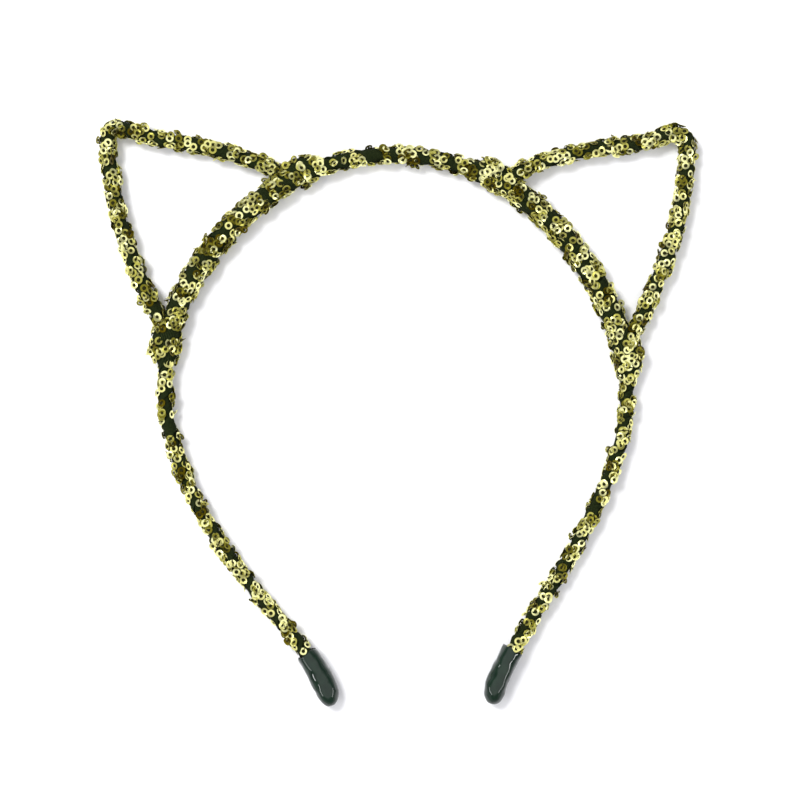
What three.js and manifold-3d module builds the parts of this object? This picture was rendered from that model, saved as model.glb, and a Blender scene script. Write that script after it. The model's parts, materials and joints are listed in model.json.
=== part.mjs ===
// A cat-ear headband that lies flat, in millimetres. +Y points from the tips to the ears and +Z up.
// A spring wire band and two bent ear wires are lashed together, wound with cloth tape and then
// with a sequinned ribbon, and the ends of the band are dipped in rubber.
import * as THREE from "three";
import { mergeVertices } from "three/addons/utils/BufferGeometryUtils.js";
import Module from "manifold-3d";

const wasm = await Module();
wasm.setup();

// Every "half" is the distance from a centreline to the flat side of a bar.
const GAP = 0.3;
const SIDES = 8;

const bandWireHalf = 1.0;
const earWireHalf = 0.8;
const tapeWall = 0.45;
const ribbonWall = 0.5;
const legHalf = 2.7;
const crownHalf = 3.0;
const shoulderHalf = 3.3;
const earHalf = 2.5;

// Feet: the end of an ear wire lies beside the band wire, and thread is lashed round both.
const footSpacing = bandWireHalf + GAP + earWireHalf;
const footMiddle = footSpacing / 2 - (bandWireHalf - earWireHalf) / 2;
const footLength = 7;
const lashingLength = 5;
const lashingWall = 0.4;
const lashingBore = { half: 2.35, tall: 1.6 };
const footFlat = 3;
const footFade = 4;

// Joints: a leg flexes at one place on the band, and an ear bends where its wire leaves the band.
const legHinges = { left: [-65.3, 7.5], right: [64.2, 6.0] };
const legHingeGap = 1.4;
const earHingePlace = footLength + 5.5;
const earHingeGap = 0.8;
const earTapeStart = 1.6;
const earRibbonStart = 3.2;

// Dipped tips.
const tipLength = 16.6;
const tipHalf = 3.15;
const tipEndHalf = 2.75;
const tapeInTip = 4;
const wireEndInTip = 3.4;

const earTipRadius = 3.0;

// Centrelines. The band runs from the left tip over the crown to the right tip.
const bandPoints = [
  [-18.6, -82.6],
  [-20.9, -75.2],
  [-28.2, -64.2],
  [-37.7, -52.8],
  [-50.2, -36.0],
  [-59.2, -19.2],
  [-64.4, -2.4],
  [-64.9, 11.0],
  [-62.4, 27.0],
  [-50.0, 48.0],
  [-30.6, 64.4],
  [-8.5, 71.4],
  [11.5, 70.6],
  [31.5, 62.6],
  [48.2, 47.2],
  [60.2, 27.0],
  [64.0, 11.0],
  [63.3, -5.0],
  [58.7, -19.2],
  [50.8, -36.0],
  [40.7, -53.0],
  [33.3, -65.0],
  [28.1, -75.2],
  [26.3, -82.2],
];

// Each ear: where its feet sit on the band, its arms, and the corner that its tip is rounded from.
const ears = {
  left: {
    outerFoot: [-63.9, 19.0],
    outerArm: [[-67.0, 26.4], [-72.0, 37.0], [-77.0, 50.5], [-80.2, 66.0]],
    corner: [-81.7, 80.7],
    innerArm: [[-68.0, 76.6], [-53.0, 73.9], [-38.0, 69.4]],
    innerFoot: [-27.0, 66.5],
  },
  right: {
    outerFoot: [63.0, 15.5],
    outerArm: [[67.6, 25.2], [72.2, 35.5], [77.6, 50.0], [80.3, 64.0]],
    corner: [81.5, 79.0],
    innerArm: [[68.0, 75.2], [53.0, 73.2], [38.0, 69.0]],
    innerFoot: [26.5, 65.6],
  },
};

const flatVector = ([x, y]) => new THREE.Vector3(x, y, 0);
const mix = THREE.MathUtils.lerp;
const fade = (value, from, to) => THREE.MathUtils.smoothstep(value, from, to);

// A flat route of known length. Past either end it carries straight on.
class Route {
  constructor(points) {
    this.curve = new THREE.CatmullRomCurve3(points, false, "centripetal");
    this.curve.arcLengthDivisions = 1200;
    this.length = this.curve.getLength();
  }

  // The point at a distance along the route, and its directions along and to the right of it.
  at(distance) {
    const within = THREE.MathUtils.clamp(distance / this.length, 0, 1);
    const along = this.curve.getTangentAt(within);
    const point = this.curve.getPointAt(within);
    point.addScaledVector(along, distance - within * this.length);
    return { point, along, right: new THREE.Vector3(along.y, -along.x, 0) };
  }

  beside(distance, offset) {
    const { point, right } = this.at(distance);
    return point.addScaledVector(right, offset);
  }

  nearest(target) {
    const step = 0.1;
    let best = 0;
    let least = Infinity;
    for (let distance = 0; distance <= this.length; distance += step) {
      const away = this.at(distance).point.distanceTo(target);
      if (away < least) {
        least = away;
        best = distance;
      }
    }
    return best;
  }
}

// Where a bar needs its rings: closer together where the route bends or the bar changes shape.
function ringPlaces(route, from, to, longestStep) {
  const sample = 0.1;
  const mostTurn = THREE.MathUtils.degToRad(15);
  const places = [from];
  let before = route.at(from).along;
  let turned = 0;
  for (let place = from + sample; place < to - sample; place += sample) {
    const along = route.at(place).along;
    turned += along.angleTo(before);
    before = along;
    if (turned > mostTurn || place - places.at(-1) >= longestStep(place)) {
      places.push(place);
      turned = 0;
    }
  }
  return [...places, to];
}

// A closed bar along a route. section(place) gives its half width, half height and sideways shift.
function bar(route, from, to, section, longestStep = () => 7) {
  const places = ringPlaces(route, from, to, longestStep);
  const steps = places.length - 1;
  const cornerReach = 1 / Math.cos(Math.PI / SIDES);
  const flatTurn = Math.PI / SIDES;
  const geometry = new THREE.CylinderGeometry(
    cornerReach, cornerReach, 1, SIDES, steps, false, flatTurn,
  );
  const position = geometry.getAttribute("position");
  for (let i = 0; i < position.count; i++) {
    const place = places[Math.round((position.getY(i) + 0.5) * steps)];
    const { half, tall = half, shift = 0 } = section(place);
    const vertex = route.beside(place, position.getX(i) * half + shift);
    vertex.z = position.getZ(i) * tall;
    position.setXYZ(i, vertex.x, vertex.y, vertex.z);
  }
  return geometry;
}

function solidOf(geometry) {
  geometry.deleteAttribute("normal");
  geometry.deleteAttribute("uv");
  const merged = mergeVertices(geometry, 1e-3);
  return new wasm.Manifold(new wasm.Mesh({
    numProp: 3,
    vertProperties: merged.getAttribute("position").array,
    triVerts: new Uint32Array(merged.index.array),
  }));
}

function geometryOf(solid) {
  const mesh = solid.getMesh();
  const geometry = new THREE.BufferGeometry();
  geometry.setAttribute("position", new THREE.BufferAttribute(mesh.vertProperties, 3));
  geometry.setIndex(new THREE.BufferAttribute(mesh.triVerts, 1));
  geometry.computeVertexNormals();
  return geometry;
}

// An open-ended sleeve: a bar with a bore that runs out of both of its ends.
function sleeve(route, from, to, outer, bore, longestStep) {
  const overrun = 1;
  const body = solidOf(bar(route, from, to, outer, longestStep));
  const hole = solidOf(bar(route, from - overrun, to + overrun, bore, longestStep));
  return body.subtract(hole);
}

const round = (half) => () => ({ half });

const materials = {
  wire: new THREE.MeshStandardMaterial({ color: 0x9a9c9e, roughness: 0.35, metalness: 1 }),
  thread: new THREE.MeshStandardMaterial({ color: 0x20241f, roughness: 0.9, metalness: 0 }),
  tape: new THREE.MeshStandardMaterial({ color: 0x1a231d, roughness: 0.95, metalness: 0 }),
  ribbon: new THREE.MeshStandardMaterial({ color: 0xb3a75a, roughness: 0.35, metalness: 0.7 }),
  tip: new THREE.MeshStandardMaterial({ color: 0x2c3f38, roughness: 0.12, metalness: 0 }),
};

const band = new Route(bandPoints.map(flatVector));
const hingePlace = {
  left: band.nearest(flatVector(legHinges.left)),
  right: band.nearest(flatVector(legHinges.right)),
};

// The band's outside is on its left as the route runs, so an outward offset is a negative one.
const OUTWARD = -1;
const feet = [
  ["left_outer", ears.left.outerFoot],
  ["left_inner", ears.left.innerFoot],
  ["right_inner", ears.right.innerFoot],
  ["right_outer", ears.right.outerFoot],
].map(([name, point]) => ({ name, place: band.nearest(flatVector(point)) }));
const [leftOuter, leftInner, rightInner, rightOuter] = feet.map((foot) => foot.place);

// 1 where a foot is lashed to the band, fading to 0 on either side of it.
function footBulge(place) {
  const away = Math.min(...feet.map((foot) => Math.abs(place - foot.place)));
  return 1 - fade(away, footFlat, footFlat + footFade);
}

// 1 between two places on the band, fading to 0 over a foot's fade at each end.
function between(place, from, to) {
  return fade(place, from, from + footFade) * (1 - fade(place, to - footFade, to));
}

const nearFeet = (place) => (footBulge(place) > 0 ? 2 : 7);

// The half thickness of the finished band away from its feet.
function finishedHalf(place) {
  const onShoulder = between(place, leftOuter, leftInner) + between(place, rightInner, rightOuter);
  const onCrown = between(place, leftOuter - footFade, rightOuter + footFade);
  return mix(mix(legHalf, crownHalf, onCrown), shoulderHalf, onShoulder);
}

const lashingOuter = {
  half: lashingBore.half + lashingWall,
  tall: lashingBore.tall + lashingWall,
};

// The bores and outsides of the tape and the ribbon on the crown, swollen at the feet.
function swollen(plainHalf, clearance) {
  return (place) => {
    const bulge = footBulge(place);
    const plain = plainHalf(place);
    return {
      half: mix(plain, lashingOuter.half + clearance, bulge),
      tall: mix(plain, lashingOuter.tall + clearance, bulge),
      shift: OUTWARD * footMiddle * bulge,
    };
  };
}

const ribbonBoreHalf = (place) => finishedHalf(place) - ribbonWall;
const tapeHalf = (place) => ribbonBoreHalf(place) - GAP;
const tapeBoreHalf = () => bandWireHalf + GAP;
const layers = {
  tapeBore: swollen(tapeBoreHalf, GAP),
  tape: swollen(tapeHalf, GAP + tapeWall),
  ribbonBore: swollen(ribbonBoreHalf, 2 * GAP + tapeWall),
  ribbon: swollen(finishedHalf, 2 * GAP + tapeWall + ribbonWall),
};

// Points on the arc of a given radius that rounds the corner between two straight runs.
function roundedCorner(before, corner, after, radius) {
  const pieces = 5;
  const inward = before.clone().sub(corner).normalize();
  const outward = after.clone().sub(corner).normalize();
  const halfAngle = inward.angleTo(outward) / 2;
  const bisector = inward.clone().add(outward).normalize();
  const centre = corner.clone().addScaledVector(bisector, radius / Math.sin(halfAngle));
  const start = corner.clone().addScaledVector(inward, radius / Math.tan(halfAngle)).sub(centre);
  const end = corner.clone().addScaledVector(outward, radius / Math.tan(halfAngle)).sub(centre);
  const sweep = Math.atan2(start.x * end.y - start.y * end.x, start.dot(end));
  const up = new THREE.Vector3(0, 0, 1);
  return Array.from({ length: pieces + 1 }, (_, i) =>
    start.clone().applyAxisAngle(up, (sweep * i) / pieces).add(centre));
}

// An ear wire's whole route: beside the band, round the ear, and beside the band again.
function earRoute(ear) {
  const besideBand = (foot, armEnd) => {
    const place = band.nearest(flatVector(foot));
    const towardsArm = Math.sign(band.nearest(armEnd) - place);
    return [-1, 0, 1].map((end) =>
      band.beside(place + towardsArm * end * (footLength / 2), OUTWARD * footSpacing));
  };
  const outerArm = ear.outerArm.map(flatVector);
  const innerArm = ear.innerArm.map(flatVector);
  const tip = roundedCorner(outerArm.at(-1), flatVector(ear.corner), innerArm[0], earTipRadius);
  const start = besideBand(ear.outerFoot, outerArm[0]);
  const end = besideBand(ear.innerFoot, innerArm.at(-1)).reverse();
  return new Route([...start, ...outerArm, ...tip, ...innerArm, ...end]);
}

const headband = new THREE.Group();

function add(name, geometry, material) {
  const mesh = new THREE.Mesh(geometry, material);
  mesh.name = name;
  headband.add(mesh);
}

// The ear: its bending wire with tape and ribbon, and the two wire ends that stay on the band.
function addEar(side, route) {
  const outerHinge = earHingePlace;
  const innerHinge = route.length - earHingePlace;
  const wire = (from, to, step) => bar(route, from, to, round(earWireHalf), step);
  const layer = (start, outer, bore) => geometryOf(
    sleeve(route, outerHinge + start, innerHinge - start, round(outer), round(bore)),
  );
  const ribbonBore = earHalf - ribbonWall;
  const halfGap = earHingeGap / 2;
  const footStep = () => 3;
  add(`${side}_ear_outer_foot`, wire(0, outerHinge - halfGap, footStep), materials.wire);
  add(`${side}_ear_inner_foot`, wire(innerHinge + halfGap, route.length, footStep), materials.wire);
  add(`${side}_ear_wire`, wire(outerHinge + halfGap, innerHinge - halfGap), materials.wire);
  add(`${side}_ear_tape`, layer(earTapeStart, ribbonBore - GAP, earWireHalf + GAP), materials.tape);
  add(`${side}_ear_ribbon`, layer(earRibbonStart, earHalf, ribbonBore), materials.ribbon);
}

// A channel for an ear wire to leave the tape and the ribbon of the crown.
function footChannel(route, from, to) {
  return solidOf(bar(route, from, to, round(earWireHalf + GAP), () => 2));
}

function addLashings() {
  const section = (size) => () => ({ ...size, shift: OUTWARD * footMiddle });
  for (const { name, place } of feet) {
    const ends = [place - lashingLength / 2, place + lashingLength / 2];
    const ring = sleeve(band, ...ends, section(lashingOuter), section(lashingBore));
    add(`${name}_lashing`, geometryOf(ring), materials.thread);
  }
}

// The crown: the middle of the band, between the two places where the legs flex.
function addCrown(earRoutes) {
  const from = hingePlace.left + legHingeGap / 2;
  const to = hingePlace.right - legHingeGap / 2;
  const channels = earRoutes.flatMap((route) => [
    footChannel(route, 0, earHingePlace),
    footChannel(route, route.length - earHingePlace, route.length),
  ]);
  const cut = (solid) => channels.reduce((left, channel) => left.subtract(channel), solid);
  add("band_wire_crown", bar(band, from, to, round(bandWireHalf)), materials.wire);
  const tape = sleeve(band, from, to, layers.tape, layers.tapeBore, nearFeet);
  add("crown_tape", geometryOf(cut(tape)), materials.tape);
  const ribbon = sleeve(band, from, to, layers.ribbon, layers.ribbonBore, nearFeet);
  add("crown_ribbon", geometryOf(cut(ribbon)), materials.ribbon);
}

// A dipped tip: it covers the end of the tape and closes round the end of the wire.
function tipSolid(route) {
  const mouth = route.length - tipLength;
  const outside = (place) => {
    const toEnd = route.length - place;
    const body = mix(tipEndHalf, tipHalf, fade(toEnd, 0, tipLength));
    const dome = Math.sqrt(Math.max(0, 1 - (1 - Math.min(1, toEnd / tipEndHalf)) ** 2));
    return { half: body * Math.max(dome, 0.25) };
  };
  const step = (place) => (route.length - place < tipEndHalf ? 0.6 : 3.5);
  const body = solidOf(bar(route, mouth, route.length, outside, step));
  const tapeHole = solidOf(bar(route, mouth - 1, mouth + tapeInTip, round(legHalf - ribbonWall)));
  const wireEnd = route.length - wireEndInTip + GAP;
  const wireHole = solidOf(bar(route, mouth - 1, wireEnd, round(bandWireHalf + GAP)));
  return body.subtract(tapeHole).subtract(wireHole);
}

// A leg: the band's wire, tape and ribbon below the place where it flexes, and its dipped tip.
function addLeg(side, points) {
  const route = new Route(points.map(flatVector));
  const start = route.nearest(flatVector(legHinges[side])) + legHingeGap / 2;
  const mouth = route.length - tipLength;
  const ribbonBore = legHalf - ribbonWall;
  const tape = sleeve(
    route, start, mouth + tapeInTip - GAP, round(ribbonBore - GAP), round(bandWireHalf + GAP),
  );
  const ribbon = sleeve(route, start, mouth - GAP, round(legHalf), round(ribbonBore));
  const wire = bar(route, start, route.length - wireEndInTip, round(bandWireHalf));
  add(`band_wire_${side}_leg`, wire, materials.wire);
  add(`${side}_leg_tape`, geometryOf(tape), materials.tape);
  add(`${side}_leg_ribbon`, geometryOf(ribbon), materials.ribbon);
  add(`${side}_tip`, geometryOf(tipSolid(route)), materials.tip);
}

const earRoutes = { left: earRoute(ears.left), right: earRoute(ears.right) };
addCrown(Object.values(earRoutes));
addLashings();
addEar("left", earRoutes.left);
addEar("right", earRoutes.right);
addLeg("right", bandPoints);
addLeg("left", [...bandPoints].reverse());

// The origin is under the middle of the headband, on the surface that it lies on.
const bounds = new THREE.Box3().setFromObject(headband, true);
const middle = bounds.getCenter(new THREE.Vector3());
headband.position.set(-middle.x, -middle.y, -bounds.min.z);

export default headband;
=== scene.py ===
# A cat-ear headband lying on a pale floor: black cloth ribbon wound on wire, sewn with gold
# ring sequins, and glossy dipped tips. Every length is in metres unless its name ends in _MM,
# and MM is one millimetre.
import json
import math

import bpy
import numpy as np
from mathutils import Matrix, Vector, noise


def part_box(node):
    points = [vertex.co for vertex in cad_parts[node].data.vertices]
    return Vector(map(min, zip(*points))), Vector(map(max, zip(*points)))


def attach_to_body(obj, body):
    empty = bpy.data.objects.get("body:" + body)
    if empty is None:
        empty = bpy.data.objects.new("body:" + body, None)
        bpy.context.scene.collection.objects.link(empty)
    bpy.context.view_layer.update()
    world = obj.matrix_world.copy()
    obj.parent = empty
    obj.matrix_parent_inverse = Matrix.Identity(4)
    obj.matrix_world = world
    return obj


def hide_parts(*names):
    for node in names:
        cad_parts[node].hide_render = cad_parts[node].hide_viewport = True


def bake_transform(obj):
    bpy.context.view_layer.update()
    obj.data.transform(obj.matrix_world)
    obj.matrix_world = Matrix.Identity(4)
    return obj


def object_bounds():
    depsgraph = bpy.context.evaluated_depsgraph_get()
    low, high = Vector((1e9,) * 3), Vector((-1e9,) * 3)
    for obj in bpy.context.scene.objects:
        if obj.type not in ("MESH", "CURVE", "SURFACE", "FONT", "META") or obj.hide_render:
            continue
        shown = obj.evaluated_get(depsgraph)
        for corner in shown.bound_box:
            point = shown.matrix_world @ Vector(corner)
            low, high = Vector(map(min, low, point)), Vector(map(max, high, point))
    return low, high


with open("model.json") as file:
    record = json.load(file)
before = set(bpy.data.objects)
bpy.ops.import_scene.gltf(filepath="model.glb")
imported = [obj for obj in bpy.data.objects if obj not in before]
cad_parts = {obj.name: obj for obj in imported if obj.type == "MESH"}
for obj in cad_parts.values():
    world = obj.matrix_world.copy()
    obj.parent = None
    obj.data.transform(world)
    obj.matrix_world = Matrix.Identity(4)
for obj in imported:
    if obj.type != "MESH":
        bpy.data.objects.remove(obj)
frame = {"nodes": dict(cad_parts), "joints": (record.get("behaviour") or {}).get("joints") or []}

CAD_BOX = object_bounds()
NODES = frame["nodes"]
MM = 0.001
TURN = 2 * math.pi
FLOOR_GAP = 0.03 * MM
ROUTE_STEP = 0.2 * MM
UP = np.array([0.0, 0.0, 1.0])

# Cloth ribbon
CLOTH_THICKNESS = 0.34 * MM
OVERLAP = 0.22
ANGLE_STEP = TURN / 26
CLOTH_LEAD = 1.5 * MM
# Where the points across the ribbon are, in shares of its pitch: closer together where it laps
# over the turn before.
ACROSS = (0.0, 0.03, 0.1, 0.2, 0.35, 0.55, 0.75, 0.95, 1.1, 1.0 + OVERLAP)
LAP_RISE = 1.3
EDGE_WANDER = 0.05
PUFF = 0.12 * MM
COARSE_RUMPLE = 0.16 * MM
FINE_RUMPLE = 0.1 * MM
BUNCHED_SHARE = 0.03
TURNS_BEFORE = 1.2
TURNS_AFTER = 0.2

# Ring sequins
RING_OUTER = 1.08 * MM
RING_HOLE = 0.53 * MM
RING_THICKNESS = 0.09 * MM
RING_CUP = 0.11 * MM
RING_SIDES = 16
BARE_LENGTH = 1.9 * MM
ROW_GAP = 1.5 * MM
RING_SPACING = 1.32 * MM
THREAD_RADIUS = 0.1 * MM
STITCHED_SHARE = 0.3
MOST_STITCHED_TILT = 0.25
MOST_TURNS = 15  # in one piece of sequins
BARE_END = 1.0 * MM
MOST_ROWS = 9
SEWN_SHARE = 0.96
BARE_WANDER = 0.9
STEP_JITTER = 0.22
SPOT_JITTER_MM = 0.32
ORDER_JITTER = 0.04

# How sequins lie: the tilt of each one, and its lift over the cloth and the ones it lies on
TILT_SPREAD = 0.15
LEAN_SHARE = 0.12
OVERLAP_TILT = 0.14
LOOSE_SHARE = 0.07
LOOSE_TILT = 3.5
SIZE_SPREAD = 0.035
LIFT_EACH = 0.16 * MM
MOST_LIFT = 0.5 * MM
CLUMP_LIFT = 0.6 * MM
CLUMP_SIZE = 2.5 * MM
LIFT_SPREAD = 0.1 * MM
TILT_CLEARANCE = 0.8

# Painted light and shade on the sequins: each number counts lit and shaded copies of one gold, from painted
# full light down to painted deep shade
PAINTED_SHADE_PLAIN = 0.6
# Painted shade on sequins that later ones lie over
PAINTED_SHADE_UNDER_COVER = 1.3
PAINTED_SHADE_IN_PATCHES = 1.9
PAINTED_SHADE_SPREAD = 1.35
# Patches of painted shade, where the sequins also tilt further
PAINTED_SHADE_PATCH_SIZE = 3.2 * MM
PAINTED_SHADE_PATCH_DEPTH = 1.6
PAINTED_SHADE_PATCH_TILT = 1.5

# Dipped tips
TIP_LENGTH = 16.6 * MM
TIP_BEYOND_WIRE = 3.4 * MM
TIP_MOUTH = TIP_LENGTH - TIP_BEYOND_WIRE
TIP_HALF = {"left": 3.35 * MM, "right": 3.05 * MM}
TIP_END_HALF = 2.95 * MM
TIP_ROUND = 4.4 * MM
TIP_TAPER = 9 * MM
TIP_SWELL = 0.42 * MM
TIP_RIPPLE = 0.15 * MM
LIP_WAVER = 0.8 * MM
CLOTH_IN_TIP = 1.2 * MM

# Winding: the mean distance between bare stripes on each stretch of the band, from the left leg
# over the crown to the right leg, and how far, in shares of it, a stripe strays from its place.
BAND_PITCHES = (9.9 * MM, 7.9 * MM, 7.4 * MM, 8.4 * MM, 8.3 * MM)
EAR_PITCH = 8.6 * MM
STRAY = 0.16
STRIPE_BEFORE_FOOT = 4.6 * MM
FIRST_STRIPE = {"band": 8 * MM, "left": 3 * MM, "right": -2 * MM}

# How far an ear's cloth reaches from its hinge on either side
EAR_BEND_REACH = 3.5 * MM


def smooth(value, low, high):
    share = np.clip((np.asarray(value, float) - low) / (high - low), 0, 1)
    return share * share * (3 - 2 * share)


def top_strip_loop(node):
    """The outline, in order, of the flat top of a bar: up one side of it and down the other."""
    mesh = node.data
    top = max(v.co.z for v in mesh.vertices)
    key = {v.index: tuple(round(c, 7) for c in v.co) for v in mesh.vertices}
    count = {}
    for face in mesh.polygons:
        corners = [key[i] for i in face.vertices]
        if min(c[2] for c in corners) < top - 1e-6:
            continue
        for a, b in zip(corners, corners[1:] + corners[:1]):
            edge = frozenset((a, b))
            count[edge] = count.get(edge, 0) + 1
    beside = {}
    for edge, uses in count.items():
        if uses == 1:
            a, b = edge
            beside.setdefault(a, []).append(b)
            beside.setdefault(b, []).append(a)
    first = next(iter(beside))
    loop = [first, beside[first][0]]
    while True:
        following = next(p for p in beside[loop[-1]] if p != loop[-2])
        if following == first:
            return np.array(loop)
        loop.append(following)


def centres(name):
    """The centres of the rings of a wire, from one end of it to the other."""
    node = NODES[name]
    loop = top_strip_loop(node)
    half = len(loop) // 2
    pairings = []
    for shift in range(half):
        turned = np.roll(loop, shift, axis=0)
        there, back = turned[:half], turned[half:][::-1]
        widths = np.linalg.norm(there - back, axis=1)
        pairings.append((widths.max(), (there + back) / 2))
    middle = min(pairings, key=lambda pairing: pairing[0])[1]
    low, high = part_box(name)
    middle[:, 2] = (low.z + high.z) / 2
    return middle


def joined(*runs):
    """Runs of points joined end to end, each turned the way that carries on the last."""
    line = runs[0]
    first_gap = min(np.linalg.norm(line[0] - runs[1][i]) for i in (0, -1))
    if first_gap < min(np.linalg.norm(line[-1] - runs[1][i]) for i in (0, -1)):
        line = line[::-1]
    for run in runs[1:]:
        if np.linalg.norm(run[-1] - line[-1]) < np.linalg.norm(run[0] - line[-1]):
            run = run[::-1]
        line = np.vstack([line, run])
    return line


class Route:
    """A smooth flat line through points, measured along its length."""

    def __init__(self, points):
        gaps = np.linalg.norm(np.diff(points, axis=0), axis=1)
        place = np.concatenate([[0], np.cumsum(gaps)])
        slope = np.gradient(points, place, axis=0)
        fine = np.arange(0, place[-1], ROUTE_STEP)
        i = np.clip(np.searchsorted(place, fine, side="right") - 1, 0, len(gaps) - 1)
        h = gaps[i][:, None]
        t = ((fine - place[i]) / gaps[i])[:, None]
        self.points = (
            (2 * t**3 - 3 * t**2 + 1) * points[i] + (t**3 - 2 * t**2 + t) * h * slope[i]
            + (3 * t**2 - 2 * t**3) * points[i + 1] + (t**3 - t**2) * h * slope[i + 1]
        )
        steps = np.linalg.norm(np.diff(self.points, axis=0), axis=1)
        self.place = np.concatenate([[0], np.cumsum(steps)])
        self.length = self.place[-1]
        self.along = np.gradient(self.points, self.place, axis=0)

    def at(self, place):
        """Points at places along the line, with the directions along it and to its right."""
        within = np.clip(place, 0, self.length)
        point = np.stack([np.interp(within, self.place, self.points[:, k]) for k in range(3)], -1)
        along = np.stack([np.interp(within, self.place, self.along[:, k]) for k in range(3)], -1)
        along /= np.linalg.norm(along, axis=-1, keepdims=True)
        point = point + along * (np.asarray(place) - within)[..., None]
        right = np.stack([along[..., 1], -along[..., 0], 0 * along[..., 0]], -1)
        return point, along, right

    def nearest(self, target):
        away = np.linalg.norm(self.points[:, :2] - np.array(target)[:2], axis=1)
        return self.place[away.argmin()]


class Limb:
    """A wound stretch of wire: its route, its section and where its ribbon turns."""

    def __init__(self, route, stripes, section, seed):
        self.route = route
        self.stripes = stripes
        self.section = section
        self.seed = seed

    def turns(self, place):
        """How many turns of ribbon there are up to a place: a whole number at each bare stripe."""
        number = np.arange(len(self.stripes))
        return np.interp(place, self.stripes, number)

    def place_of(self, turns):
        number = np.arange(len(self.stripes))
        pitch_in = self.stripes[1] - self.stripes[0]
        pitch_out = self.stripes[-1] - self.stripes[-2]
        within = np.interp(turns, number, self.stripes)
        before = np.minimum(turns, 0) * pitch_in
        after = np.maximum(turns - number[-1], 0) * pitch_out
        return within + before + after

    def surface(self, place, angle, lift):
        """Points on the wound surface, with the directions out of it, round it and along it."""
        point, along, right = self.route.at(place)
        half, tall, shift = self.section(place)
        sine, cosine = np.sin(angle), np.cos(angle)
        out = right * (sine / half)[..., None] + UP * (cosine / tall)[..., None]
        out /= np.linalg.norm(out, axis=-1, keepdims=True)
        side = right * (shift + half * sine)[..., None] + UP * (tall * cosine)[..., None]
        round_it = right * cosine[..., None] - UP * sine[..., None]
        return point + side + out * np.asarray(lift)[..., None], out, round_it, along


def strayed_stripes(ends, pitches, seed):
    """Places of bare stripes: one at each end, and the rest about evenly spaced between them."""
    rng = np.random.default_rng(seed)
    places = [ends[:1]]
    for low, high, pitch in zip(ends, ends[1:], pitches):
        count = round((high - low) / pitch)
        stretch = np.linspace(low, high, count + 1)[1:]
        stretch[:-1] += rng.uniform(-STRAY, STRAY, count - 1) * pitch
        places.append(stretch)
    return np.concatenate(places)


def wander(points, size, seed):
    """Smooth random numbers from -1 to 1, one for each point, that change over a length."""
    offset = Vector((seed * 7.3, seed * 3.1, seed * 5.7))
    flat = points.reshape(-1, 3)
    values = [noise.noise(Vector(p) / size + offset) for p in flat]
    return np.array(values).reshape(points.shape[:-1])


# ---------------------------------------------------------------- meshes

def mesh_object(name, points, faces, materials, slots=None, smooth_faces=True):
    mesh = bpy.data.meshes.new(name)
    mesh.from_pydata(points.tolist(), [], faces.tolist() if hasattr(faces, "tolist") else faces)
    for material in materials:
        mesh.materials.append(material)
    if slots is not None:
        mesh.polygons.foreach_set("material_index", np.asarray(slots, np.int32))
    mesh.polygons.foreach_set("use_smooth", [smooth_faces] * len(mesh.polygons))
    mesh.update()
    piece = bpy.data.objects.new(name, mesh)
    bpy.context.scene.collection.objects.link(piece)
    return piece


def tube_faces(rings, sides):
    """Quads of a tube whose points are numbered round one ring after another."""
    ring, side = np.meshgrid(np.arange(rings - 1), np.arange(sides), indexing="ij")
    following = (side + 1) % sides
    here, beyond = ring * sides, (ring + 1) * sides
    corners = [here + side, here + following, beyond + following, beyond + side]
    return np.stack(corners, -1).reshape(-1, 4)


def bunched(place, limits):
    """Places with those outside the limits gathered in close to them."""
    within = np.clip(place, *limits)
    return within + BUNCHED_SHARE * (place - within)


def ribbon_piece(name, limb, first_turn, last_turn, limits, material):
    """The cloth ribbon of a limb from one turn to another: a closed strip wound as a screw."""
    angles = np.arange(first_turn * TURN, last_turn * TURN + ANGLE_STEP / 2, ANGLE_STEP)
    across = np.array(ACROSS)
    turn, share = np.meshgrid(angles / TURN, across, indexing="ij")
    edge_shift = EDGE_WANDER * wander(np.stack([turn * 3, share * 0, share * 0], -1), 1.0, limb.seed)
    place = bunched(limb.place_of(turn + share + edge_shift) - CLOTH_LEAD, limits)
    lap = 1 - smooth(share, 0, OVERLAP)
    puff = np.sin(np.pi * np.clip(share, 0, 1)) * PUFF
    flat_point = limb.surface(place, turn * TURN, 0 * place)[0]
    rumple = COARSE_RUMPLE * wander(flat_point, 1.6 * MM, limb.seed)
    rumple = rumple + FINE_RUMPLE * wander(flat_point, 0.6 * MM, limb.seed)
    height = lap * CLOTH_THICKNESS * LAP_RISE + puff + rumple
    bottom = limb.surface(place, turn * TURN, height - CLOTH_THICKNESS)[0]
    top = limb.surface(place, turn * TURN, height)[0]
    ring = np.concatenate([top, bottom[:, ::-1]], axis=1)
    rows, columns = ring.shape[:2]
    faces = tube_faces(rows, columns).tolist()
    faces.append(list(range(columns))[::-1])
    faces.append(list(range((rows - 1) * columns, rows * columns)))
    piece = mesh_object(name, ring.reshape(-1, 3), faces, [material])
    length = np.linalg.norm(np.diff(top[:, 4], axis=0), axis=1).sum()
    # This width runs along the wire. Square to its own edges the ribbon is only 7.7 to 8.8 mm wide.
    width = np.linalg.norm(np.diff(top, axis=1), axis=2).sum(1).mean()
    # The weave is placed in millimetres along the ribbon and along the wire.
    along = np.repeat(angles[:, None] * length / (angles[-1] - angles[0]), columns, 1) / MM
    wide = np.concatenate([across, across[::-1]])[None] * width / MM + 0 * along
    weave = piece.data.attributes.new("weave_place", "FLOAT_VECTOR", "POINT")
    spots = np.stack([along, wide, 0 * along], -1)
    weave.data.foreach_set("vector", spots.astype(np.float32).ravel())
    return piece, width, length


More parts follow.
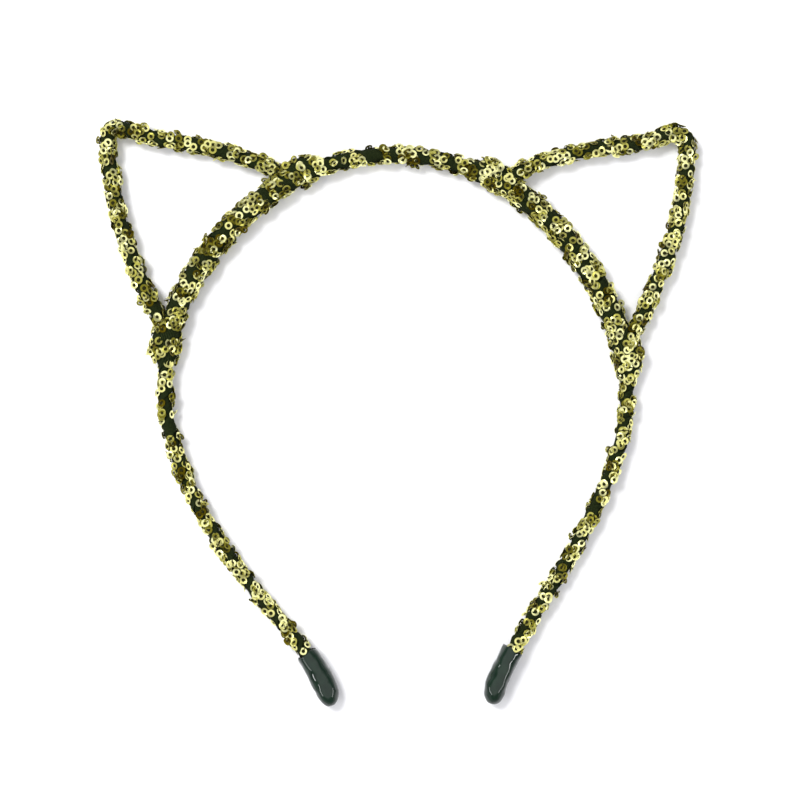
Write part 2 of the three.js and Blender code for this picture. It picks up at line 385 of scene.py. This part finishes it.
def ring_template():
    """One sequin, a thin cupped ring, as rings of points round its section."""
    angle = np.arange(RING_SIDES) * TURN / RING_SIDES
    rim = [(RING_HOLE, -RING_CUP), (RING_OUTER, 0.0),
           (RING_OUTER, RING_THICKNESS), (RING_HOLE, RING_THICKNESS - RING_CUP)]
    points = np.array([[r * np.cos(angle), r * np.sin(angle), h + 0 * angle] for r, h in rim])
    faces = tube_faces(len(rim) + 1, RING_SIDES) % (len(rim) * RING_SIDES)
    return points.transpose(0, 2, 1).reshape(-1, 3), faces


def thread_template():
    """The stitch that holds a sequin: out of its hole, over its rim and down to the cloth."""
    line = MM * np.array(
        [[0.0, -0.25], [0.1, 0.12], [0.55, 0.2], [0.95, 0.16], [1.2, -0.2], [1.3, -0.5]])
    sides = 5
    angle = np.arange(sides) * TURN / sides
    slope = np.gradient(line, axis=0)
    slope /= np.linalg.norm(slope, axis=1)[:, None]
    normal = np.stack([-slope[:, 1], slope[:, 0]], -1)
    rings = []
    for centre, out in zip(line, normal):
        round_it = THREAD_RADIUS * np.stack(
            [np.cos(angle) * out[0], 1.3 * np.sin(angle), np.cos(angle) * out[1]], -1)
        rings.append(np.array([centre[0], 0, centre[1]]) + round_it)
    points = np.concatenate(rings)
    return points, tube_faces(len(line), sides)[:, ::-1]


def knot_template():
    """The dark lump of thread that fills the hole of a sewn sequin."""
    sides = 6
    angle = np.arange(sides) * TURN / sides
    profile = [(0.42, -0.3), (0.38, 0.0), (0.24, 0.07), (0.02, 0.09)]
    rings = [np.stack([r * np.cos(angle), r * np.sin(angle), h + 0 * angle], -1) for r, h in profile]
    return np.concatenate(rings) * MM, tube_faces(len(profile), sides)


def place_copies(template, frames, origins):
    """A copy of the template in each frame, pushed up where it would pass through the floor."""
    points, faces = template
    placed = np.einsum("nij,pj->npi", frames, points) + origins[:, None, :]
    placed[..., 2] += np.maximum(FLOOR_GAP - placed[..., 2].min(1), 0)[:, None]
    shift = (np.arange(len(origins)) * len(points))[:, None, None]
    return placed.reshape(-1, 3), (faces[None] + shift).reshape(-1, faces.shape[1])


def merged(*parts):
    """Several sets of points and faces as one."""
    points, faces, count = [], [], 0
    for some_points, some_faces in parts:
        points.append(some_points)
        faces.append(some_faces + count)
        count += len(some_points)
    return np.vstack(points), np.vstack(faces)


def settle(centre, out):
    """Lifts each sequin by the ones before it that it lies on, and leans it away from them.

    Gives the lifts, the leans and how much each sequin is covered by the ones after it.
    """
    lift, covered = np.zeros(len(centre)), np.zeros(len(centre))
    lean = np.zeros_like(centre)
    reach = 1.6 * RING_OUTER
    looked_back = 300
    for i in range(1, len(centre)):
        start = max(0, i - looked_back)
        gap = centre[start:i] - centre[i]
        weight = np.clip(1 - np.linalg.norm(gap, axis=1) / reach, 0, 1)
        lift[i] = min(LIFT_EACH * weight.sum(), MOST_LIFT)
        lean[i] = -(gap * weight[:, None]).sum(0) / RING_OUTER
        covered[start:i] += weight
    lean -= (lean * out).sum(1, keepdims=True) * out
    return lift, lean, covered


def sewn_places(limb, first_turn, last_turn, keep_clear, rng):
    """Where the sequins are sewn: in rows beside each other along the ribbon, with a bare edge."""
    half = limb.section(limb.place_of(np.linspace(first_turn, last_turn, 60)))[0].max()
    count = int((last_turn - first_turn) * TURN * half / RING_SPACING)
    step = (last_turn - first_turn) / count
    turns, shares = [], []
    for row in range(MOST_ROWS):
        turn = np.linspace(first_turn, last_turn, count, endpoint=False) + step * rng.random()
        turn = turn + rng.normal(0, STEP_JITTER, count) * step
        pitch = limb.place_of(turn + 1) - limb.place_of(turn)
        ragged = wander(np.stack([turn * 4, 0 * turn + row, 0 * turn], -1), 1.0, limb.seed + 2)
        bare = BARE_LENGTH * (1 + BARE_WANDER * ragged)
        rows = np.round((pitch - bare) / ROW_GAP)
        spot = bare / 2 + (row + 0.5) * (pitch - bare) / rows
        spot = spot + rng.normal(0, SPOT_JITTER_MM, count) * MM
        room = limb.section(limb.place_of(turn + spot / pitch))[0] / half
        stay = (row < rows) & (rng.random(count) < SEWN_SHARE * room)
        turns.append(turn[stay])
        shares.append((spot / pitch)[stay])
    turn, share = np.concatenate(turns), np.concatenate(shares)
    order = np.argsort(turn + share + rng.normal(0, ORDER_JITTER, len(turn)))
    turn, share = turn[order], share[order]
    place = limb.place_of(turn + share)
    clear = (place > keep_clear[0]) & (place < keep_clear[1])
    return turn[clear], place[clear]


def tilted_frames(normal, round_it, along, rng):
    """A frame for each sequin that looks along its normal and is spun at random about it."""
    spin = rng.random(len(normal)) * TURN
    side = round_it * np.cos(spin)[:, None] + along * np.sin(spin)[:, None]
    side -= (side * normal).sum(1)[:, None] * normal
    side /= np.linalg.norm(side, axis=1)[:, None]
    return np.stack([side, np.cross(normal, side), normal], -1)


def sequin_piece(name, limb, first_turn, last_turn, keep_clear):
    """The sequins of a limb from one turn to another, with the stitches that hold them."""
    rng = np.random.default_rng(limb.seed * 1000 + int(first_turn) + 77)
    turn, place = sewn_places(limb, first_turn, last_turn, keep_clear, rng)
    count = len(turn)
    base, out, round_it, along = limb.surface(place, turn * TURN, 0.1 * MM + 0 * place)
    lift, lean, covered = settle(base, out)
    # Patches of painted shade, where the sequins also tilt further
    painted_shade_patch = wander(base, PAINTED_SHADE_PATCH_SIZE, limb.seed + 4) * PAINTED_SHADE_PATCH_DEPTH
    tip = rng.normal(0, TILT_SPREAD, (count, 2)) * (1 + PAINTED_SHADE_PATCH_TILT * np.clip(painted_shade_patch, 0, 1))[:, None]
    loose = rng.random(count) < LOOSE_SHARE
    tip[loose] *= LOOSE_TILT
    normal = out + lean * LEAN_SHARE + round_it * (OVERLAP_TILT + tip[:, :1]) + along * tip[:, 1:]
    normal /= np.linalg.norm(normal, axis=1)[:, None]
    frames = tilted_frames(normal, round_it, along, rng)
    size = rng.normal(1.0, SIZE_SPREAD, count)
    tilt = np.linalg.norm(np.cross(normal, out), axis=1)
    clear_of_cloth = TILT_CLEARANCE * tilt * RING_OUTER
    clump = np.clip(wander(base, CLUMP_SIZE, limb.seed + 6), 0, 1) * CLUMP_LIFT
    lift = lift + rng.random(count) * LIFT_SPREAD + clump + clear_of_cloth
    origins = base + out * lift[:, None]
    rings = place_copies(ring_template(), frames * size[:, None, None], origins)
    knots = place_copies(knot_template(), frames, origins)
    stitched = (rng.random(count) < STITCHED_SHARE) & (np.abs(tip).max(1) < MOST_STITCHED_TILT)
    threads = place_copies(thread_template(), frames[stitched], origins[stitched])
    points, faces = merged(rings, knots, threads)
    thread_slot = len(LIT_AND_SHADED_GOLD) - 1
    # Painted shade: darker copies of the gold go to sequins that later ones cover and to those in the shade
    # patches
    painted_shade_step = PAINTED_SHADE_PLAIN + PAINTED_SHADE_UNDER_COVER * covered + PAINTED_SHADE_IN_PATCHES * painted_shade_patch
    painted_shade_step = painted_shade_step + rng.normal(0, PAINTED_SHADE_SPREAD, count)
    painted_shade_step = np.clip(np.round(painted_shade_step), 0, thread_slot - 1).astype(int)
    slots = np.full(len(faces), thread_slot)
    slots[:len(rings[1])] = np.repeat(painted_shade_step, len(rings[1]) // count)
    return mesh_object(name, points, faces, LIT_AND_SHADED_GOLD, slots, smooth_faces=False)


# ---------------------------------------------------------------- materials

def new_material(name, **values):
    material = bpy.data.materials.new(name)
    material.use_nodes = True
    shader = material.node_tree.nodes["Principled BSDF"]
    for socket, value in values.items():
        shader.inputs[socket.replace("_", " ")].default_value = value
    return material, material.node_tree, shader


def add_node(tree, kind, **values):
    node = tree.nodes.new(kind)
    for name, value in values.items():
        if hasattr(node, name):
            setattr(node, name, value)
        else:
            node.inputs[name.replace("_", " ")].default_value = value
    return node


def colour_ramp(tree, source, stops):
    ramp = tree.nodes.new("ShaderNodeValToRGB")
    while len(ramp.color_ramp.elements) < len(stops):
        ramp.color_ramp.elements.new(0.5)
    for element, (position, colour) in zip(ramp.color_ramp.elements, stops):
        element.position = position
        element.color = (*colour, 1)
    tree.links.new(source, ramp.inputs["Fac"])
    return ramp.outputs["Color"]


def cloth_material():
    """Black knitted ribbon with a green cast: ribs along it, stitches across it, and lint."""
    material, tree, shader = new_material(
        "black_knit", Sheen_Weight=0.015, Sheen_Roughness=0.4, Specular_IOR_Level=0.02)
    place = add_node(tree, "ShaderNodeAttribute", attribute_name="weave_place")
    ribs = add_node(tree, "ShaderNodeTexWave", bands_direction="Y", Scale=1.0, Distortion=1.2, Detail=1.0)
    stitches = add_node(tree, "ShaderNodeTexWave", bands_direction="X", Scale=0.8, Distortion=1.5, Detail=1.0)
    lint = add_node(tree, "ShaderNodeTexNoise", Scale=2.2, Detail=5.0, Roughness=0.65)
    for texture in (ribs, stitches, lint):
        tree.links.new(place.outputs["Vector"], texture.inputs["Vector"])
    weave = add_node(tree, "ShaderNodeMath", operation="MULTIPLY")
    tree.links.new(ribs.outputs["Fac"], weave.inputs[0])
    tree.links.new(stitches.outputs["Fac"], weave.inputs[1])
    height = add_node(tree, "ShaderNodeMath", operation="ADD")
    tree.links.new(weave.outputs[0], height.inputs[0])
    tree.links.new(lint.outputs["Fac"], height.inputs[1])
    colour = colour_ramp(tree, height.outputs[0], [
        (0.5, (0.0015, 0.004, 0.0012)), (0.8, (0.0075, 0.0125, 0.0035)), (1.0, (0.036, 0.046, 0.016))])
    tree.links.new(colour, shader.inputs["Base Color"])
    rough = add_node(tree, "ShaderNodeMapRange", To_Min=0.62, To_Max=0.92)
    tree.links.new(lint.outputs["Fac"], rough.inputs["Value"])
    tree.links.new(rough.outputs["Result"], shader.inputs["Roughness"])
    bump = add_node(tree, "ShaderNodeBump", Strength=0.6, Distance=0.12 * MM)
    tree.links.new(height.outputs[0], bump.inputs["Height"])
    tree.links.new(bump.outputs["Normal"], shader.inputs["Normal"])
    return material


def gold_materials():
    """The sequins' metallised film as lit and shaded copies of one gold, from painted full light to painted
    deep shade, and their sewing thread.
    """
    lit_and_shaded_copies = {
        # Lit and shaded copies of one gold film: painted light down to painted shade
        "gold_painted_full_light": ((0.93, 0.92, 0.43), 0.32),
        "gold_painted_light": ((0.82, 0.79, 0.29), 0.35),
        "gold_painted_half_shade": ((0.47, 0.445, 0.095), 0.37),
        "gold_painted_shade": ((0.21, 0.19, 0.022), 0.40),
        "gold_painted_deep_shade": ((0.10, 0.077, 0.004), 0.42),
    }
    made = []
    for name, (colour, roughness) in lit_and_shaded_copies.items():
        material, _, _ = new_material(name, Base_Color=(*colour, 1), Metallic=1.0, Roughness=roughness)
        made.append(material)
    # The thread's olive tint also paints the shade of the gold inside the sequins' holes
    thread_with_painted_shade, _, _ = new_material(
        "sewing_thread_painted_shade", Base_Color=(0.019, 0.018, 0.004, 1), Roughness=0.7, Specular_IOR_Level=0.1)
    return made + [thread_with_painted_shade]


def tip_material():
    """Dark green-grey rubber that was dipped and has dried glossy, with faint clouding."""
    material, tree, shader = new_material(
        "dipped_rubber", Coat_Weight=1.0, Coat_Roughness=0.03, Coat_IOR=1.45, Specular_IOR_Level=0.05)
    place = tree.nodes.new("ShaderNodeTexCoord")
    cloud = add_node(tree, "ShaderNodeTexNoise", Scale=420.0, Detail=3.0)
    tree.links.new(place.outputs["Object"], cloud.inputs["Vector"])
    colour = colour_ramp(tree, cloud.outputs["Fac"], [
        (0.3, (0.001, 0.009, 0.004)), (0.7, (0.005, 0.018, 0.009))])
    tree.links.new(colour, shader.inputs["Base Color"])
    rough = add_node(tree, "ShaderNodeMapRange", To_Min=0.12, To_Max=0.3)
    tree.links.new(cloud.outputs["Fac"], rough.inputs["Value"])
    tree.links.new(rough.outputs["Result"], shader.inputs["Roughness"])
    bump = add_node(tree, "ShaderNodeBump", Strength=0.25, Distance=0.2 * MM)
    tree.links.new(cloud.outputs["Fac"], bump.inputs["Height"])
    tree.links.new(bump.outputs["Normal"], shader.inputs["Normal"])
    return material


def steel_material():
    """Drawn spring wire: fine marks in its roughness, and a little bluing."""
    material, tree, shader = new_material("spring_steel", Metallic=1.0)
    place = tree.nodes.new("ShaderNodeTexCoord")
    marks = add_node(tree, "ShaderNodeTexNoise", Scale=900.0, Detail=4.0)
    tree.links.new(place.outputs["Object"], marks.inputs["Vector"])
    colour = colour_ramp(tree, marks.outputs["Fac"], [
        (0.35, (0.36, 0.37, 0.39)), (0.65, (0.56, 0.56, 0.56))])
    tree.links.new(colour, shader.inputs["Base Color"])
    rough = add_node(tree, "ShaderNodeMapRange", To_Min=0.2, To_Max=0.45)
    tree.links.new(marks.outputs["Fac"], rough.inputs["Value"])
    tree.links.new(rough.outputs["Result"], shader.inputs["Roughness"])
    return material


def lashing_material():
    """Black waxed thread wound tight round the wires."""
    material, tree, shader = new_material("lashing", Sheen_Weight=0.2)
    place = tree.nodes.new("ShaderNodeTexCoord")
    strands = add_node(tree, "ShaderNodeTexWave", bands_direction="Y", Scale=900.0, Distortion=1.0)
    tree.links.new(place.outputs["Object"], strands.inputs["Vector"])
    colour = colour_ramp(tree, strands.outputs["Fac"], [
        (0.2, (0.006, 0.008, 0.006)), (0.9, (0.03, 0.036, 0.03))])
    tree.links.new(colour, shader.inputs["Base Color"])
    bump = add_node(tree, "ShaderNodeBump", Strength=0.7, Distance=0.1 * MM)
    tree.links.new(strands.outputs["Fac"], bump.inputs["Height"])
    tree.links.new(bump.outputs["Normal"], shader.inputs["Normal"])
    return material


# ---------------------------------------------------------------- the headband

band_route = Route(joined(*(centres("band_wire_" + part) for part in ("left_leg", "crown", "right_leg"))))
ear_routes = {
    side: Route(joined(*(centres(f"{side}_ear_{part}") for part in ("outer_foot", "wire", "inner_foot"))))
    for side in ("left", "right")
}
LASHINGS = ("left_outer", "left_inner", "right_inner", "right_outer")


def box_middle(name):
    low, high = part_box(name)
    return (low + high) / 2


def box_half(name, axis):
    low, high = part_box(name)
    return (high[axis] - low[axis]) / 2


FOOT_PLACES = [band_route.nearest(box_middle(name + "_lashing")) for name in LASHINGS]
LEG_HALF = box_half("left_leg_ribbon", 2) - 1.12 * MM
CROWN_HALF = LEG_HALF + 0.25 * MM
SHOULDER_HALF = CROWN_HALF + 0.85 * MM
RIGHT_SHOULDER_MORE = 0.14 * MM
EAR_HALF = box_half("left_ear_ribbon", 2) - 0.76 * MM
FOOT_HALF = 3.6 * MM
FOOT_TALL = box_half("crown_ribbon", 2) - 0.6 * MM
FOOT_SHIFT = -0.95 * MM
FOOT_LENGTH = 7 * MM
FOOT_FLAT = 1.8 * MM
FOOT_FADE = 7.5 * MM


def between(place, low, high):
    return smooth(place, low, low + FOOT_FADE) * (1 - smooth(place, high - FOOT_FADE, high))


def band_section(place):
    """Half width, half height and sideways shift of the cloth on the band."""
    place = np.asarray(place, float)
    first, second, third, fourth = FOOT_PLACES
    on_crown = between(place, first - FOOT_FADE, fourth + FOOT_FADE)
    on_right = between(place, third, fourth)
    on_shoulder = between(place, first, second) + on_right
    plain = LEG_HALF + (CROWN_HALF - LEG_HALF) * on_crown
    plain = plain + (SHOULDER_HALF - plain) * on_shoulder + RIGHT_SHOULDER_MORE * on_right
    away = np.min([np.abs(place - foot) for foot in FOOT_PLACES], axis=0)
    bulge = 1 - smooth(away, FOOT_FLAT, FOOT_FADE)
    half = plain + (FOOT_HALF - plain) * bulge
    tall = plain + (FOOT_TALL - plain) * bulge
    return half, tall, FOOT_SHIFT * bulge


def ear_section(place):
    half = EAR_HALF + 0 * np.asarray(place, float)
    return half, half, 0 * half


def wound_band(seed):
    """The band, with a bare stripe just before each place where an ear's foot lies on it."""
    at_feet = [place - STRIPE_BEFORE_FOOT for place in FOOT_PLACES]
    ends = [FIRST_STRIPE["band"], *at_feet, band_route.length]
    return Limb(band_route, strayed_stripes(ends, BAND_PITCHES, seed), band_section, seed)


def wound_ear(side, seed):
    route = ear_routes[side]
    stripes = strayed_stripes([FIRST_STRIPE[side], route.length], [EAR_PITCH], seed)
    return Limb(route, stripes, ear_section, seed)


band = wound_band(3)
ears = {"left": wound_ear("left", 5), "right": wound_ear("right", 8)}

BLACK_KNIT = cloth_material()
LIT_AND_SHADED_GOLD = gold_materials()


def hinge(name):
    joint = next(j for j in frame["joints"] if j["name"] == name)
    return np.array(joint["pos_m"]), np.array(joint["axis"], float)


def across_ear(side):
    """Two points a reach away from an ear's hinge, one on either side of the line through its feet."""
    pivot, axis = hinge(f"{side}_ear_bend")
    outward = np.cross(UP, axis)
    tip = np.array(ear_routes[side].at(ear_routes[side].length / 2)[0])
    outward *= np.sign(outward @ (tip - pivot))
    return pivot - outward * EAR_BEND_REACH, pivot + outward * EAR_BEND_REACH


def finish_limb(label, limb, first, last, attach, limits=(-1, 1)):
    """Winds and sews a limb from one turn to another, in as few pieces of sequins as will do."""
    cloth, width, length = ribbon_piece(label + "_cloth", limb, first, last, limits, BLACK_KNIT)
    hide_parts(label + "_tape", label + "_ribbon")
    attach(cloth)
    parts = math.ceil((last - first) / MOST_TURNS)
    ends = np.linspace(first, last, parts + 1)
    for number, (start, stop) in enumerate(zip(ends, ends[1:]), start=1):
        name = f"{label}_sequins_{number}" if parts > 1 else f"{label}_sequins"
        sequins = sequin_piece(name, limb, start, stop, (limits[0] + BARE_END, limits[1] - BARE_END))
        attach(sequins)


def wound_turns(limb, ends):
    """The turns of ribbon that cover a limb from one place to another."""
    return float(limb.turns(ends[0])) - TURNS_BEFORE, float(limb.turns(ends[1])) + TURNS_AFTER


def leg_cuts():
    """The turns, under the band at the ears' outer feet, where its ribbon is parted for the legs."""
    first, last = FOOT_PLACES[0], FOOT_PLACES[-1]
    return math.floor(band.turns(first)) + 0.5, math.floor(band.turns(last)) - 0.5


def make_band():
    left_cut, right_cut = leg_cuts()
    ends = TIP_MOUTH - CLOTH_IN_TIP, band_route.length - TIP_MOUTH + CLOTH_IN_TIP
    start, stop = wound_turns(band, ends)

    def bend(side):
        return lambda piece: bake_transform(piece)

    finish_limb("left_leg", band, start, left_cut, bend("left"), ends)
    finish_limb("crown", band, left_cut, right_cut, lambda piece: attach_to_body(piece, "crown"))
    finish_limb("right_leg", band, right_cut, stop, bend("right"), ends)


def make_ear(side, limb):
    bare_foot = FOOT_LENGTH - 1.5 * MM
    ends = bare_foot, limb.route.length - bare_foot

    def bend(piece):
        across_ear(side)
        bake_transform(piece)

    finish_limb(f"{side}_ear", limb, *wound_turns(limb, ends), bend, ends)


def tip_skin(side, sides, seed):
    """Rings of points from inside the tip's lip, round the lip and on to its round end."""
    # Depth is how far in past the lip a ring is. Below zero it is how far out towards the end.
    into_mouth = [2.0 * MM, 1.0 * MM, 0.1 * MM, 0.0]
    steps = 70
    depth = np.concatenate([into_mouth, -np.linspace(0.01, 1, steps) * TIP_LENGTH])
    pull_in = np.concatenate([[0.84, 0.85, 0.87, 0.93], 1 - 0.05 * np.exp(-np.linspace(0, 12, steps))])
    angle = np.arange(sides) * TURN / sides
    d, a = np.meshgrid(depth, angle, indexing="ij")
    round_end = np.stack([np.cos(a), np.sin(a), 0 * a], -1)
    lip = LIP_WAVER * wander(round_end, 0.8, seed)
    away = TIP_LENGTH + np.where(d > 0, -d, d) + lip * np.clip(1 + d / (6 * MM), 0, 1)
    away = np.maximum(away, 0)
    place = away - TIP_BEYOND_WIRE
    if side == "right":
        place = band_route.length - place
    point, _, right = band_route.at(place)

    def at_radius(radius):
        return point + right * (np.sin(a) * radius)[..., None] + UP * (np.cos(a) * radius)[..., None]

    dome = np.sqrt(np.clip(1 - (1 - np.clip(away / TIP_ROUND, 0, 1)) ** 2, 0, 1))
    body = TIP_END_HALF + (TIP_HALF[side] - TIP_END_HALF) * smooth(away, 0, TIP_TAPER)
    plain = at_radius(body)
    swell = TIP_SWELL * wander(plain, 4.2 * MM, seed) + TIP_RIPPLE * wander(plain, 1.9 * MM, seed + 1)
    skin = at_radius((body * pull_in[:, None] + swell) * dome)
    skin[..., 2] = np.maximum(skin[..., 2], 0.05 * MM)
    return skin[:-1]


def make_tip(side, seed, material):
    """A dipped tip: an uneven skin from a ragged lip on the cloth to a round end."""
    sides = 48
    skin = tip_skin(side, sides, seed)
    rows = len(skin)
    faces = tube_faces(rows, sides)
    ends = [list(range(sides))[::-1], list(range((rows - 1) * sides, rows * sides))]
    if side == "left":
        faces = faces[:, ::-1]
        ends = [end[::-1] for end in ends]
    piece = mesh_object(f"{side}_dipped_tip", skin.reshape(-1, 3), faces.tolist() + ends, [material])
    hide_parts(f"{side}_tip")
    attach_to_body(piece, f"{side}_leg")


def dress_wires():
    steel, lashing = steel_material(), lashing_material()
    for name, node in NODES.items():
        if node.hide_render:
            continue
        material = lashing if name.endswith("_lashing") else steel
        node.data.materials.clear()
        node.data.materials.append(material)


# ---------------------------------------------------------------- the setting

def make_floor():
    half = 3.0
    corners = np.array([[-half, -half, 0], [half, -half, 0], [half, half, 0], [-half, half, 0]])
    material, tree, shader = new_material("pale_floor", Specular_IOR_Level=0.15, Roughness=0.9)
    place = tree.nodes.new("ShaderNodeTexCoord")
    grain = add_node(tree, "ShaderNodeTexNoise", Scale=60.0, Detail=2.0)
    tree.links.new(place.outputs["Object"], grain.inputs["Vector"])
    colour = colour_ramp(tree, grain.outputs["Fac"], [(0.2, (0.81, 0.81, 0.82)), (0.8, (0.83, 0.83, 0.84))])
    tree.links.new(colour, shader.inputs["Base Color"])
    floor = mesh_object("floor", corners, np.array([[0, 1, 2, 3]]), [material])


def make_world():
    """A studio: white overhead, white near the horizon, and a darker band of room between them."""
    world = bpy.data.worlds.new("studio")
    bpy.context.scene.world = world
    world.use_nodes = True
    tree = world.node_tree
    place = tree.nodes.new("ShaderNodeTexCoord")
    split = tree.nodes.new("ShaderNodeSeparateXYZ")
    tree.links.new(place.outputs["Generated"], split.inputs["Vector"])
    colour = colour_ramp(tree, split.outputs["Z"], [
        (0.0, (0.68, 0.68, 0.71)), (0.25, (0.58, 0.58, 0.61)), (0.42, (0.2, 0.2, 0.22)),
        (0.6, (0.27, 0.27, 0.29)), (0.82, (1.12, 1.12, 1.15)), (1.0, (1.12, 1.12, 1.15))])
    tree.links.new(colour, tree.nodes["Background"].inputs["Color"])
    tree.nodes["Background"].inputs["Strength"].default_value = 1.02


def add_light(name, place, size, energy, size_y=None, in_reflections=True):
    data = bpy.data.lights.new(name, "AREA")
    data.energy = energy
    data.shape = "RECTANGLE"
    data.size = size
    data.size_y = size_y or size
    light = bpy.data.objects.new(name, data)
    light.location = place
    light.rotation_euler = (-Vector(place)).to_track_quat("-Z", "Y").to_euler()
    light.visible_glossy = in_reflections
    bpy.context.scene.collection.objects.link(light)


def make_camera():
    """Straight above, far off with a long lens, so that the whole band is seen in plan."""
    middle = (CAD_BOX[0] + CAD_BOX[1]) / 2
    off_middle = Vector((0.7 * MM, 3.62 * MM, 0))
    lens, sensor = 100.0, 36.0
    view_width = 0.224
    distance = view_width * lens / sensor
    data = bpy.data.cameras.new("camera")
    data.lens = lens
    data.sensor_width = sensor
    data.clip_end = 20
    camera = bpy.data.objects.new("camera", data)
    camera.location = middle + off_middle + Vector((0, 0, distance))
    bpy.context.scene.collection.objects.link(camera)
    bpy.context.scene.camera = camera


make_camera()
make_world()
make_floor()
add_light("key", (-0.6, 0.6, 1.2), 0.5, 20.0, in_reflections=False)
add_light("left_strip", (-0.9, -0.4, 0.68), 0.8, 3.4, size_y=0.08)
add_light("right_strip", (0.9, -0.4, 0.72), 0.8, 3.4, size_y=0.08)
make_band()
for side, limb in ears.items():
    make_ear(side, limb)
TIP_RUBBER = tip_material()
make_tip("left", 21, TIP_RUBBER)
make_tip("right", 34, TIP_RUBBER)
dress_wires()

bpy.context.scene.view_settings.view_transform = "Standard"
